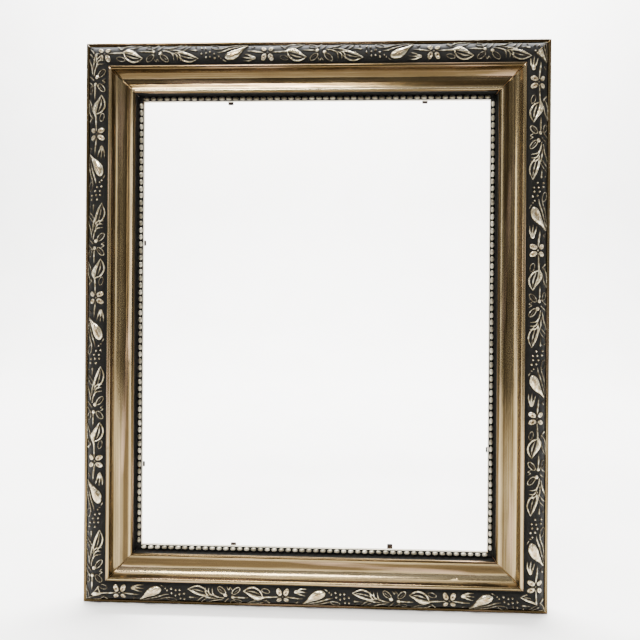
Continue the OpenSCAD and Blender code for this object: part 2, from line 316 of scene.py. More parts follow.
PERIOD = 168.0        # one repeat in the pattern's own units
REPEAT = 161.0        # the same in mm
SCALE = REPEAT / PERIOD
FIRST_FLOWER = (96.6, 143.6, 22.0, 45.4)    # from each side's corner to its first flower
CELL = 0.2            # spacing of the relief map
MARGIN = 8            # how far past the repeat's ends a motif still counts


def pattern_u(u):
    """A height in the pattern, as mm across the band."""
    return 1.01 * u + 1.9 if u >= 7 else 4.2 + 1.59 * (u - 4)


def arc_w(u):
    """Length along the arc of the band at u mm, from the arc's top."""
    return ARC_R * np.arcsin(np.clip((np.asarray(u) - ARC_U) / ARC_R, -0.999, 0.999))


def L(h, *points):
    """A stroke of height h through (s, u, half width)."""
    return ("line", h, points)


def ring(h, s, u, a, b, turn, r):
    """A closed stroke round an oval of half lengths a and b, turned by degrees."""
    pts = []
    for i in range(13):
        q = 2 * math.pi * i / 12
        c, d = a * math.cos(q), b * math.sin(q)
        co, si = math.cos(math.radians(turn)), math.sin(math.radians(turn))
        pts.append((s + c * co - d * si, u + c * si + d * co, r))
    return ("line", h, tuple(pts))


def petal(s, u, a, b, turn, h, hollow, tan=0.0):
    """An oval boss with a hollow in its middle, tan being how brown that hollow is painted, as painted
    shade.
    """
    return ("petal", h, (s, u, a, b, turn, hollow, tan))


MOTIF = [
    # the four-petalled flower
    petal(3.6, 17.1, 4.2, 2.8, 64, 1.6, 0.6, 1.0), petal(-3.6, 17.1, 4.2, 2.8, 116, 1.6, 0.6, 1.0),
    petal(3.7, 9.2, 3.4, 2.6, -50, 1.5, 0.4, 0.7), petal(-3.7, 9.2, 3.4, 2.6, -130, 1.5, 0.4, 0.7),
    petal(0, 12.9, 1.3, 1.3, 0, 0.8, 0.0),
    # the stem, curl and tulip between it and the bird
    L(1.1, (-20.5, 11.0, 0.5), (-14, 11.5, 1.25), (-8.5, 12.2, 1.3), (-3, 12.8, 0.6)),
    L(0.9, (-17.5, 5.0, 0.5), (-15.8, 7.4, 0.6), (-13.7, 6.2, 1.2)),
    petal(-14.2, 17.8, 2.8, 2.1, 0, 1.4, 0.2, 0.4),
    L(1.2, (-14, 18.4, 1.5), (-18.5, 20.2, 1.2), (-24.5, 20.4, 0.5)),
    L(1.2, (-14, 17.8, 1.5), (-19, 17.9, 1.1), (-25.2, 17.2, 0.5)),
    L(1.2, (-14, 17.2, 1.5), (-18.5, 15.3, 1.1), (-23.5, 14.0, 0.5)),
    # the bird, with the two long feathers over its back
    L(2.4, (-41.2, 16.6, 2.6), (-38.6, 15.9, 4.4), (-34.6, 14.6, 5.1), (-30.2, 12.2, 3.9), (-26.6, 9.5, 2.4),
      (-23.0, 7.2, 1.3), (-20.0, 5.8, 0.5)),
    L(0.9, (-45.6, 19.0, 0.6), (-43.6, 20.2, 0.9), (-41.6, 20.8, 0.5)),
    L(1.1, (-51, 12.4, 0.5), (-46, 11.6, 1.0), (-40, 9.4, 1.1), (-32, 7.0, 0.9), (-21, 5.2, 0.6)),
    L(1.0, (-52, 9.2, 0.5), (-46, 8.0, 0.9), (-38, 5.9, 0.9), (-29, 4.9, 0.7), (-21, 4.7, 0.5)),
    ring(0.9, -53.5, 6.8, 4.8, 1.7, 12, 0.62),
    L(0.9, (-47.5, 17.6, 1.1), (-47.5, 18.2, 1.1)),
    # berries
    petal(-67.3, 13.7, 1.15, 1.05, 0, 1.7, 0), petal(-67.3, 7.7, 1.15, 1.05, 0, 1.7, 0),
    petal(-62.6, 16.9, 1.15, 1.05, 0, 1.7, 0), petal(-62.6, 12.9, 1.15, 1.05, 0, 1.7, 0),
    petal(-63.3, 8.3, 1.15, 1.05, 0, 1.7, 0), petal(-58.5, 16.6, 1.15, 1.05, 0, 1.7, 0),
    petal(-58.5, 11.8, 1.15, 1.05, 0, 1.7, 0), petal(-53.8, 17.9, 1.3, 1.15, 0, 1.7, 0),
    petal(-54.4, 13.8, 1.15, 1.05, 0, 1.7, 0), petal(-49.5, 16.2, 1.0, 0.95, 0, 1.4, 0),
    # ball stem and dot
    L(1.1, (-81, 9.2, 0.5), (-76.5, 9.6, 0.9), (-73, 9.8, 1.5)),
    petal(-74, 6.0, 1.1, 1.0, 0, 1.0, 0),
    # the open pointed leaf
    L(1.5, (-92, 12.2, 0.8), (-85, 12.8, 1.5), (-78, 15.0, 1.6), (-70.6, 18.0, 0.5)),
    L(1.3, (-91, 16.2, 0.7), (-86, 19.6, 1.1), (-79, 20.8, 1.1), (-70.6, 18.0, 0.5)),
    L(1.0, (-89, 15.2, 0.6), (-82, 17.0, 0.9), (-74.5, 17.9, 0.5)),
    # the stem and bud after the flower
    L(1.2, (3, 12.6, 0.6), (10, 12.2, 1.1), (16, 12.0, 1.3), (21, 11.6, 1.5)),
    L(1.8, (19.5, 11.4, 1.4), (25.3, 10.6, 3.0), (30, 12.2, 2.5), (35, 15.0, 1.6), (39.8, 17.2, 0.6)),
    L(1.4, (20.5, 13.0, 0.9), (23, 17.6, 1.2), (29, 20.6, 1.3), (35, 19.9, 1.2), (39.8, 17.4, 0.7)),
    L(1.1, (23, 14.6, 0.6), (30, 17.0, 1.1), (36, 17.4, 0.6)),
    ring(0.9, 17.2, 17.9, 4.2, 1.9, 12, 0.65),
    L(1.1, (13.8, 5.7, 1.4), (17, 7.8, 0.7), (20, 8.2, 0.5)),
    L(1.1, (16.5, 8.4, 0.6), (21, 5.6, 1.0), (26, 4.5, 1.0), (33, 4.4, 0.9), (37.5, 4.4, 0.5)),
    L(1.0, (22, 8.2, 0.5), (28, 7.4, 0.8), (33, 6.2, 0.9), (37.5, 4.4, 0.5)),
    L(1.1, (35.5, 10.6, 0.5), (42, 10.8, 1.25), (48.5, 11.0, 1.0)),
    # the looped flower
    petal(50.8, 11.2, 2.1, 2.0, 0, 1.5, 0.0), petal(58.3, 12.8, 2.3, 2.1, 0, 1.5, 0.2, 0.4),
    ring(1.0, 47.6, 17.2, 4.6, 2.3, -35, 0.75), ring(1.0, 62.3, 17.4, 4.8, 2.3, 35, 0.75),
    L(0.8, (45, 18.4, 0.5), (49.5, 15.4, 0.6)), L(0.8, (60, 15.6, 0.5), (64.8, 18.8, 0.6)),
    L(1.0, (51.6, 18.0, 0.6), (53.6, 20.4, 0.8), (55, 18.2, 0.8), (57, 20.6, 0.6)),
    ring(0.9, 46, 6.6, 3.8, 1.4, 8, 0.6),
    L(1.0, (49, 9.0, 0.7), (52.5, 6.4, 0.8), (55, 4.4, 0.5)),
    L(1.0, (55.5, 9.4, 0.8), (58, 7.0, 0.9), (61, 4.8, 0.5)),
    # feathers and stems that run into the next leaf
    L(1.2, (60, 9.8, 0.7), (66, 11.0, 1.0), (70.9, 13.7, 1.0), (72.2, 19.4, 0.5)),
    L(1.2, (70, 12.0, 0.6), (74.4, 14.0, 1.0), (75.8, 16.5, 1.0), (75.6, 19.4, 0.5)),
    L(1.2, (73, 11.6, 0.6), (77.2, 13.4, 1.0), (79.0, 16.4, 1.0), (79.0, 19.8, 0.5)),
    L(1.1, (62, 8.1, 0.8), (70, 6.8, 1.1), (75, 5.4, 0.9), (80, 4.1, 0.5)),
    L(1.1, (67, 9.0, 0.6), (74, 9.6, 1.1), (80, 11.2, 1.2), (86, 13.0, 0.8)),
    L(1.0, (78, 8.8, 0.6), (81.5, 6.6, 0.9), (85, 4.4, 0.5)),
    L(1.0, (81, 10.6, 0.6), (85, 8.2, 0.9), (89, 5.2, 0.5)),
]


def spline(points):
    """Catmull-Rom samples of (s, w, r) points."""
    p = np.array(points, float)
    p = np.vstack([2 * p[0] - p[1], p, 2 * p[-1] - p[-2]])
    out = []
    for i in range(1, len(p) - 2):
        for t in np.linspace(0, 1, 7, endpoint=False):
            a, b, c, d = p[i - 1:i + 3]
            out.append(0.5 * (2 * b + (c - a) * t + (2 * a - 5 * b + 4 * c - d) * t * t
                              + (3 * b - a - 3 * c + d) * t ** 3))
    out.append(p[-2])
    out = np.array(out)
    out[:, 2] = np.clip(out[:, 2], 0.25, None)
    return out


def place(s, u):
    """A point of the pattern as millimetres along the band and along its arc."""
    return s * SCALE, float(arc_w(pattern_u(u)))


def petal_relief(S, V, h, data, shift):
    """Where a petal lies on the tile, its height and the brown painted shade in its hollow, or None if it is
    off the tile.
    """
    s, u, a, b, turn, hollow, brown = data
    cs, cw = place(s, u)
    cs += shift
    if cs < -MARGIN or cs > REPEAT + MARGIN:
        return None
    co, si = math.cos(math.radians(turn)), math.sin(math.radians(turn))
    p = ((S - cs) * co + (V - cw) * si) / (a * SCALE)
    q = (-(S - cs) * si + (V - cw) * co) / (b * SCALE)
    d = np.sqrt(p * p + q * q)
    body = np.clip(1 - d * d, 0, None) ** 0.45
    dent = hollow * np.exp(-((p + 0.12) ** 2 + q * q) / 0.14)
    tan_and_shade = brown * np.exp(-((p + 0.1) ** 2 + q * q) / 0.3)
    return slice(None), h * np.clip(body - dent, 0, None), tan_and_shade


def stroke_relief(S, V, h, data, shift):
    """The same for a stroke, which is lower where it is narrower."""
    pts = spline([(*place(s, u), r * SCALE * (0.86 if r < 2 else 1.0)) for s, u, r in data])
    pts[:, 0] += shift
    if pts[:, 0].max() < -MARGIN or pts[:, 0].min() > REPEAT + MARGIN:
        return None
    reach = (S[:, 0] > pts[:, 0].min() - 7) & (S[:, 0] < pts[:, 0].max() + 7)
    cols = np.where(reach)[0]
    if len(cols) == 0:
        return None
    cols = slice(cols[0], cols[-1] + 1)
    Sc, Vc = S[cols], V[cols]
    best = np.zeros_like(Sc)
    widest = pts[:, 2].max()
    for a, b in zip(pts[:-1], pts[1:]):
        ab = b[:2] - a[:2]
        l2 = max(ab @ ab, 1e-9)
        t = np.clip(((Sc - a[0]) * ab[0] + (Vc - a[1]) * ab[1]) / l2, 0, 1)
        d = np.hypot(Sc - a[0] - t * ab[0], Vc - a[1] - t * ab[1])
        r = a[2] + t * (b[2] - a[2])
        local = h * (0.45 + 0.55 * (r / widest) ** 0.7)
        best = np.maximum(best, local * np.clip(1 - (d / r) ** 2, 0, None) ** 0.72)
    # the broadest strokes are browner along their middle
    tan_and_shade = 0.75 * np.clip(best / h - 0.75, 0, 0.25) * 4 if widest > 3 else 0.0
    return cols, best, tan_and_shade


def pattern_tile():
    """Height and tan maps over one repeat, as arrays [s][w], with the first and last w. The tan is painted
    shade in the petals' hollows and a browner middle on the broadest strokes.
    """
    w0, w1 = arc_w(STRIP), arc_w(GUTTER)
    ns = int(round(REPEAT / CELL))
    nw = int(round((w1 - w0) / CELL)) + 1
    s_mm = np.arange(ns) * REPEAT / ns
    w_mm = w0 + np.arange(nw) * (w1 - w0) / (nw - 1)
    S, V = np.meshgrid(s_mm, w_mm, indexing="ij")
    height = np.zeros_like(S)
    tan = np.zeros_like(S)
    for kind, h, data in MOTIF:
        relief = petal_relief if kind == "petal" else stroke_relief
        for shift in (-REPEAT, 0, REPEAT, 2 * REPEAT):
            found = relief(S, V, h, data, shift)
            if found is None:
                continue
            cols, z, tan_and_shade = found
            better = z > height[cols]
            height[cols] = np.where(better, z, height[cols])
            tan[cols] = np.where(better, tan_and_shade, tan[cols])
    return height, tan, w0, w1


TILE_H, TILE_T, TILE_W0, TILE_W1 = pattern_tile()


def sample(tile, s, w):
    """The map's value at s along the band, which repeats, and w along its arc."""
    ns, nw = tile.shape
    a = (s / REPEAT * ns) % ns
    b = np.clip((w - TILE_W0) / (TILE_W1 - TILE_W0) * (nw - 1), 0, nw - 1.001)
    i, j = np.floor(a).astype(int) % ns, np.floor(b).astype(int)
    f, g = a - np.floor(a), b - j
    i2 = (i + 1) % ns
    return ((tile[i, j] * (1 - f) + tile[i2, j] * f) * (1 - g)
            + (tile[i, j + 1] * (1 - f) + tile[i2, j + 1] * f) * g)


BAND_SHADE_BY_SIDE = (0.0, 0.05, 0.4, 0.0)     # painted shade darkening each side's band, the top most


def ornament_mesh(k, material):
    """The pressed band of side k: its arc, raised by the pattern, closed by its seat."""
    half = side_l(k) / 2
    rows_w = np.linspace(arc_w(STRIP + 0.02), arc_w(GUTTER - 0.02), 64)
    columns = 1380 if k % 2 else 1140
    t = np.linspace(-1, 1, columns)
    lean = rows_w / ARC_R
    u0 = ARC_U + ARC_R * np.sin(lean)
    T, U0 = np.meshgrid(t, u0, indexing="ij")
    WW = np.broadcast_to(rows_w, T.shape)
    LEAN = np.broadcast_to(lean, T.shape)
    X0 = T * (half - U0)
    s = half - X0
    h = sample(TILE_H, s - FIRST_FLOWER[k], WW)
    tan = sample(TILE_T, s - FIRST_FLOWER[k], WW)
    # slack pressing: heights vary a little along the run
    long_swell = 1.15 + 0.12 * value_noise(s / 21.0, 70 + k, 2)
    short_swell = 0.88 + 0.16 * value_noise(s / 2.4 + WW * 0.9, 75 + k, 2)
    h = h * long_swell * short_swell
    fade = np.clip((U0 - STRIP) / 0.7, 0, 1) * np.clip((GUTTER - U0) / 0.8, 0, 1)
    h = h * fade
    # the relief's slope, which the ornament's material uses to paint shade on its steep sides
    along = np.gradient(h, axis=0) * (columns - 1) / (2 * half)
    slope = np.hypot(along, np.gradient(h, rows_w, axis=1))
    ground = 0.035 * value_noise(s * 0.9 + 13 * WW, 80 + k, 2)
    lift = h + np.where(h < 0.1, ground, 0)
    U = U0 + lift * np.sin(LEAN)
    V = ARC_V + ARC_R * np.cos(LEAN) + lift * np.cos(LEAN)
    U = np.clip(U, STRIP + 0.02, GUTTER - 0.02)
    X = T * (half - U)
    top = to_world(k, X, U, V)
    seat = np.array([
        (GUTTER - 0.02, DEPTH - 6.7), (STRIP + 15, DEPTH - 5.9),
        (STRIP + 7, DEPTH - 8.9), (STRIP + 0.02, LEDGE_V + 1.6),
    ])
    xs = t[:, None] * (half - seat[None, :, 0])
    seat_u = np.broadcast_to(seat[:, 0], xs.shape)
    seat_v = np.broadcast_to(seat[:, 1], xs.shape)
    under = to_world(k, xs, seat_u, seat_v)
    rows = np.concatenate([top, under], 1)
    verts, faces, _ = loft(rows)
    pad = np.zeros((columns, len(seat)))
    run = np.stack([np.concatenate(pair, 1) for pair in ((X, xs), (U, seat_u), (V, seat_v))], -1)
    ob = make_object(
        f"{SIDES[k]}_ornament_look", verts, faces, [material],
        floats={
            "relief": np.concatenate([h, pad], 1).reshape(-1),
            "tan": np.concatenate([tan, pad], 1).reshape(-1),
            "slope": np.concatenate([slope, pad], 1).reshape(-1),
            "across": run[..., 1].reshape(-1),
            "band_shade": np.full(run[..., 1].size, BAND_SHADE_BY_SIDE[k]),
        },
        vectors={"run": run.reshape(-1, 3)},
    )
    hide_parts(f"{SIDES[k]}_ornament")
    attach(ob, "frame")


# ---------------------------------------------------------------- pearls

PEARL_L, PEARL_D, PITCH = 5.4, 3.6, 6.9
PEARL_U = RAIL_W - 0.4 - PEARL_D / 2
PEARL_V = LEDGE_V + 1.1
PEARL_RINGS, PEARL_SEGS = 11, 14
PEARL_SHADE_BY_SIDE = (0.0, 0.1, 0.7, 0.0)      # painted shade: how much darker each side's pearls are made, the top most


def carrier(k, half):
    """The flat strip that the pearls sit on, as points, faces and run."""
    outer, inner = RAIL_W - 4.6, RAIL_W - 0.3
    u = np.array([outer, outer, outer + 0.2, inner - 0.2, inner, inner])
    v = LEDGE_V + np.array([0.0, 0.7, 0.9, 0.9, 0.7, 0.0])
    t = np.linspace(-1, 1, 121)
    x = t[:, None] * (half - u[None, :])
    uu, vv = np.broadcast_to(u, x.shape), np.broadcast_to(v, x.shape)
    verts, faces, _ = loft(to_world(k, x, uu, vv))
    return verts.tolist(), faces, np.stack([x, uu, vv], -1).reshape(-1, 3).tolist()


def pearl(k, cx, rng):
    """One pearl at cx as points, faces from 0 and run, long along the side and nearly round across."""
    stretch = rng.uniform(0.95, 1.03)
    fat = rng.uniform(0.94, 1.0)
    tilt = rng.uniform(-0.05, 0.05)
    n = PEARL_SEGS
    phi = np.linspace(-math.pi / 2, math.pi / 2, PEARL_RINGS + 2)[1:-1]
    px = PEARL_L / 2 * stretch * np.sin(phi)
    pr = PEARL_D / 2 * fat * np.cos(phi) ** 0.75
    q = 2 * math.pi * np.arange(n) / n
    X = cx + px[:, None] + 0 * q[None, :]
    U = PEARL_U + pr[:, None] * np.cos(q)[None, :] + tilt * px[:, None]
    V = PEARL_V + pr[:, None] * np.sin(q)[None, :]
    tips = to_world(k, cx + np.array([-1, 1]) * PEARL_L / 2 * stretch, PEARL_U, PEARL_V)
    pts = np.concatenate([to_world(k, X, U, V).reshape(-1, 3), tips])
    faces = []
    for j in range(PEARL_RINGS - 1):
        for i in range(n):
            i2 = (i + 1) % n
            faces.append([j * n + i, j * n + i2, (j + 1) * n + i2, (j + 1) * n + i])
    first, last = PEARL_RINGS * n, PEARL_RINGS * n + 1
    for i in range(n):
        i2 = (i + 1) % n
        faces.append([first, i2, i])
        faces.append([last, (PEARL_RINGS - 1) * n + i, (PEARL_RINGS - 1) * n + i2])
    if volume(pts - pts.mean(0), faces) < 0:
        faces = [f[::-1] for f in faces]
    run_x = np.append(X.reshape(-1), [cx, cx]) - cx
    run_u = np.append(U.reshape(-1), [PEARL_U, PEARL_U])
    run_v = np.append(V.reshape(-1), [PEARL_V, PEARL_V])
    return pts.tolist(), faces, np.stack([run_x, run_u, run_v], -1).tolist()


def pearls_mesh(k, materials):
    """The pearl string of side k on its carrier."""
    rng = random.Random(400 + k)
    room = side_l(k) - 2 * PEARL_U - 2 * PEARL_D
    last = math.floor(room / PITCH)
    verts, faces, run = carrier(k, side_l(k) / 2)
    tone = [0.0] * len(verts)
    slots = [1] * len(faces)
    for n in range(last + 1):
        cx = (n - last / 2) * PITCH + rng.uniform(-0.12, 0.12)
        pts, mine, pearl_run = pearl(k, cx, rng)
        # each pearl's random tone, less the painted shade of its side
        shade = rng.uniform(0.25, 1.0) - PEARL_SHADE_BY_SIDE[k]
        faces += [[len(verts) + f for f in face] for face in mine]
        verts += pts
        run += pearl_run
        tone += [shade] * len(pts)
        slots += [0] * len(mine)
    ob = make_object(
        f"{SIDES[k]}_pearls_look", verts, faces, materials, slots,
        floats={"tone": tone}, vectors={"run": run},
    )
    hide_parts(f"{SIDES[k]}_pearls")
    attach(ob, "frame")


# ---------------------------------------------------------------- materials

class Shader:
    """A small builder for one procedural material."""

    def __init__(self, name, metallic=0.0, roughness=0.5, specular=0.5):
        self.material = bpy.data.materials.new(name)
        self.material.use_nodes = True
        self.tree = self.material.node_tree
        self.tree.nodes.clear()
        self.out = self.tree.nodes.new("ShaderNodeOutputMaterial")
        self.bsdf = self.tree.nodes.new("ShaderNodeBsdfPrincipled")
        self.tree.links.new(self.bsdf.outputs[0], self.out.inputs[0])
        self.bsdf.inputs["Metallic"].default_value = metallic
        self.bsdf.inputs["Roughness"].default_value = roughness
        self.bsdf.inputs["Specular IOR Level"].default_value = specular

    def put(self, socket, value):
        """Links another node's output to the socket, or sets a constant on it."""
        if isinstance(value, bpy.types.NodeSocket):
            self.tree.links.new(value, socket)
        else:
            socket.default_value = value

    def set(self, name, value):
        self.put(self.bsdf.inputs[name], value)

    def attribute(self, name, vector=False):
        n = self.tree.nodes.new("ShaderNodeAttribute")
        n.attribute_type = "GEOMETRY"
        n.attribute_name = name
        return n.outputs["Vector" if vector else "Fac"]

    def object_coords(self):
        return self.tree.nodes.new("ShaderNodeTexCoord").outputs["Object"]

    def scaled(self, vector, scale, offset=(0, 0, 0)):
        n = self.tree.nodes.new("ShaderNodeMapping")
        self.put(n.inputs["Vector"], vector)
        n.inputs["Scale"].default_value = scale
        n.inputs["Location"].default_value = offset
        return n.outputs[0]

    def noise(self, vector, detail, rough):
        n = self.tree.nodes.new("ShaderNodeTexNoise")
        self.put(n.inputs["Vector"], vector)
        n.inputs["Scale"].default_value = 1.0
        n.inputs["Detail"].default_value = detail
        n.inputs["Roughness"].default_value = rough
        return n.outputs["Fac"]

    def math(self, op, a, b=0.5):
        n = self.tree.nodes.new("ShaderNodeMath")
        n.operation = op
        self.put(n.inputs[0], a)
        self.put(n.inputs[1], b)
        return n.outputs[0]

    def remap(self, value, a, b, c=0.0, d=1.0):
        n = self.tree.nodes.new("ShaderNodeMapRange")
        n.clamp = True
        self.put(n.inputs["Value"], value)
        n.inputs["From Min"].default_value = a
        n.inputs["From Max"].default_value = b
        n.inputs["To Min"].default_value = c
        n.inputs["To Max"].default_value = d
        return n.outputs[0]

    def ramp(self, fac, stops):
        n = self.tree.nodes.new("ShaderNodeValToRGB")
        self.put(n.inputs[0], fac)
        e = n.color_ramp.elements
        while len(e) < len(stops):
            e.new(0.5)
        for i, (pos, colour) in enumerate(stops):
            e[i].position = pos
            e[i].color = (*colour, 1)
        return n.outputs[0]

    def mix(self, fac, a, b):
        n = self.tree.nodes.new("ShaderNodeMix")
        n.data_type = "RGBA"
        self.put(n.inputs[0], fac)
        for socket, value in ((n.inputs[6], a), (n.inputs[7], b)):
            if isinstance(value, tuple):
                value = (*value, 1)
            self.put(socket, value)
        return n.outputs[2]

    def bump(self, height, strength, distance):
        n = self.tree.nodes.new("ShaderNodeBump")
        n.inputs["Strength"].default_value = strength
        n.inputs["Distance"].default_value = distance
        self.put(n.inputs["Height"], height)
        self.tree.links.new(n.outputs[0], self.bsdf.inputs["Normal"])


def srgb(r, g, b):
    """A colour given as 0 to 255, made linear."""
    def lin(c):
        c /= 255.0
        return c / 12.92 if c <= 0.04045 else ((c + 0.055) / 1.055) ** 2.4
    return (lin(r), lin(g), lin(b))


def gold_material():
    """Champagne gilding streaked along the rail, browner in patches and dark at the mitres."""
    m = Shader("antique_gold", metallic=0.9, roughness=0.26)
    run = m.attribute("run", vector=True)
    tone = m.attribute("tone")
    streak = m.noise(m.scaled(run, (0.004, 0.55, 0.55)), 4.0, 0.6)
    fine = m.noise(m.scaled(run, (0.02, 2.2, 2.2)), 3.0, 0.6)
    cloud = m.noise(m.scaled(run, (0.016, 0.05, 0.05), (3, 7, 1)), 3.0, 0.55)
    # tone: the section's rubbed wear together with its painted highlight and painted shade
    k = m.math("ADD", m.math("MULTIPLY", tone, 0.6), m.math("MULTIPLY", streak, 0.45))
    k = m.math("ADD", k, m.math("MULTIPLY", fine, 0.25))
    k = m.math("ADD", k, m.math("MULTIPLY", cloud, 0.2))
    k = m.math("SUBTRACT", k, 0.44)
    base = m.ramp(k, [
        (0.0, srgb(60, 47, 25)), (0.3, srgb(132, 115, 82)),
        (0.55, srgb(158, 143, 112)), (0.85, srgb(200, 190, 166)),
    ])
    pink = m.noise(m.scaled(run, (0.009, 0.16, 0.16), (9, 2, 4)), 2.0, 0.5)
    base = m.mix(m.remap(pink, 0.54, 0.7, 0.0, 0.4), base, srgb(166, 138, 112))
    brown = m.noise(m.scaled(run, (0.007, 1.1, 1.1), (5, 3, 8)), 2.0, 0.5)
    base = m.mix(m.remap(brown, 0.56, 0.7, 0.0, 0.3), base, srgb(106, 88, 58))
    mitre = m.attribute("mitre")
    base = m.mix(m.remap(mitre, 0.0, 0.9, 0.75, 0.0), base, srgb(48, 36, 20))
    speck = m.noise(m.scaled(run, (0.6, 0.6, 0.6)), 2.0, 0.5)
    base = m.mix(m.remap(speck, 0.70, 0.76, 0.0, 0.7), base, srgb(52, 40, 24))
    m.set("Base Color", base)
    m.set("Roughness", m.remap(fine, 0.3, 0.7, 0.13, 0.22))
    m.bump(m.math("ADD", streak, fine), 0.13, 0.0002)
    return m.material


def black_material():
    """Matt black of the channel and of the seat."""
    m = Shader("black_ground", roughness=0.62, specular=0.1)
    run = m.attribute("run", vector=True)
    grain = m.noise(m.scaled(run, (1.6, 1.6, 1.6)), 3.0, 0.6)
    cloud = m.noise(m.scaled(run, (0.05, 0.2, 0.2)), 2.0, 0.5)
    base = m.ramp(m.math("MULTIPLY", grain, cloud), [(0.12, srgb(6, 6, 5)), (0.42, srgb(24, 23, 20))])
    m.set("Base Color", base)
    m.bump(grain, 0.3, 0.0003)
    return m.material


def ornament_material():
    """Black ground, with the relief rubbed silver where it stands up."""
    m = Shader("ornament", roughness=0.55, specular=0.1)
    run = m.attribute("run", vector=True)
    relief = m.attribute("relief")
    tan = m.attribute("tan")
    slope = m.attribute("slope")
    across = m.attribute("across")
    grain = m.noise(m.scaled(run, (1.7, 1.7, 1.7)), 3.0, 0.6)
    rub = m.noise(m.scaled(run, (0.3, 0.45, 0.45)), 3.0, 0.6)
    ground = m.ramp(grain, [(0.35, srgb(4, 4, 3)), (0.7, srgb(18, 17, 14))])
    gutter = m.remap(across, GUTTER - 2.8, GUTTER - 1.4)
    ground = m.mix(gutter, ground, srgb(18, 18, 15))
    worn = m.math("ADD", relief, m.math("MULTIPLY", m.math("SUBTRACT", rub, 0.5), 0.7))
    silver = m.ramp(rub, [(0.3, srgb(120, 106, 74)), (0.5, srgb(190, 177, 144)), (0.7, srgb(248, 240, 214))])
    # tan: painted shade in the petals' hollows, and a browner middle on the broadest strokes
    silver = m.mix(m.math("MULTIPLY", tan, 0.85), silver, srgb(120, 90, 52))
    # painted shade: the relief's steep sides are darkened
    silver = m.mix(m.remap(slope, 0.6, 1.7, 0.0, 0.92), silver, srgb(52, 44, 30))
    fac = m.remap(worn, 0.66, 1.3)
    base = m.mix(fac, ground, silver)
    edge = m.math("MULTIPLY", m.remap(worn, 0.2, 0.5), m.remap(worn, 0.5, 0.8, 1.0, 0.0))
    base = m.mix(m.math("MULTIPLY", edge, 0.4), base, srgb(70, 58, 38))
    # painted shade: each side's band is darkened by its own amount, the top most
    base = m.mix(m.attribute("band_shade"), base, srgb(8, 7, 5))
    m.set("Base Color", base)
    m.set("Metallic", m.math("MULTIPLY", fac, 0.85))
    m.set("Roughness", m.remap(fac, 0.0, 1.0, 0.6, 0.24))
    m.bump(grain, 0.35, 0.0002)
    return m.material


def pearl_material():
    """Rubbed silver, with painted shade low on each pearl, towards the carrier it sits on."""
    m = Shader("rubbed_silver", metallic=0.8, roughness=0.3)
    run = m.attribute("run", vector=True)
    tone = m.attribute("tone")
    blotch = m.noise(m.scaled(run, (0.5, 0.6, 0.6)), 3.0, 0.6)
    k = m.math("ADD", m.math("MULTIPLY", tone, 0.4), m.math("MULTIPLY", blotch, 0.7))
    base = m.ramp(k, [(0.25, srgb(60, 55, 42)), (0.55, srgb(120, 113, 95)), (0.9, srgb(186, 179, 160))])
    # painted shade low on each pearl, towards the carrier it sits on
    part = m.tree.nodes.new("ShaderNodeSeparateXYZ")
    m.put(part.inputs[0], run)
    low = m.remap(part.outputs[2], PEARL_V - 0.3, PEARL_V + 0.8, 1.0, 0.0)
    base = m.mix(m.math("MULTIPLY", low, 0.9), base, srgb(30, 27, 22))
    m.set("Base Color", base)
    m.bump(blotch, 0.2, 0.0002)
    return m.material


def side_material():
    """Bronze paint of the outer sides."""
    m = Shader("outer_side_paint", roughness=0.5, specular=0.4)
    run = m.attribute("run", vector=True)
    tone = m.attribute("tone")
    streak = m.noise(m.scaled(run, (0.01, 0.5, 0.7)), 4.0, 0.6)
    blotch = m.noise(m.scaled(run, (0.05, 0.2, 0.2)), 3.0, 0.6)
    base = m.ramp(m.math("ADD", m.math("MULTIPLY", streak, 0.7), m.math("MULTIPLY", tone, 0.4)),
                  [(0.3, srgb(58, 44, 27)), (0.6, srgb(104, 84, 52)), (0.85, srgb(146, 124, 84))])
    base = m.mix(m.remap(blotch, 0.6, 0.72, 0.0, 0.5), base, srgb(44, 34, 24))
    m.set("Base Color", base)
    m.set("Metallic", 0.35)
    m.bump(streak, 0.3, 0.0003)
    return m.material


def lip_material():
    """Greyed silver of the narrow lip."""
    m = Shader("sight_lip", metallic=0.45, roughness=0.45)
    run = m.attribute("run", vector=True)
    n = m.noise(m.scaled(run, (0.08, 0.5, 0.5)), 3.0, 0.6)
    base = m.ramp(n, [(0.3, srgb(112, 104, 88)), (0.7, srgb(184, 178, 160))])
    m.set("Base Color", base)
    m.bump(n, 0.2, 0.0002)
    return m.material


def pine_material():
    """Bare pine of the back and rebate."""
    m = Shader("raw_pine", roughness=0.72, specular=0.3)
    run = m.attribute("run", vector=True)
    warp = m.noise(m.scaled(run, (0.004, 0.03, 0.03)), 2.0, 0.5)
    part = m.tree.nodes.new("ShaderNodeSeparateXYZ")
    m.put(part.inputs[0], run)
    slant = m.math("ADD", part.outputs[1], m.math("MULTIPLY", part.outputs[2], 0.8))
    ring_at = m.math("ADD", slant, m.math("MULTIPLY", warp, 26.0))
    rings = m.math("SINE", m.math("MULTIPLY", ring_at, 1.9))
    fibre = m.noise(m.scaled(run, (0.03, 1.8, 1.8)), 4.0, 0.65)
    k = m.math("ADD", m.math("MULTIPLY", rings, 0.16), fibre)
    base = m.ramp(k, [(0.25, srgb(206, 172, 122)), (0.55, srgb(188, 146, 96)), (0.8, srgb(140, 98, 58))])
    stain = m.noise(m.scaled(run, (0.02, 0.09, 0.09), (4, 4, 4)), 3.0, 0.6)
    base = m.mix(m.remap(stain, 0.56, 0.72, 0.0, 0.45), base, srgb(120, 90, 58))
    # paint that ran over the outer edge
    spill = m.math("ADD", part.outputs[1], m.math("MULTIPLY", fibre, 3.0))
    base = m.mix(m.remap(spill, 1.6, 3.2, 0.75, 0.0), base, srgb(70, 54, 36))
    m.set("Base Color", base)
    m.bump(k, 0.3, 0.0004)
    return m.material


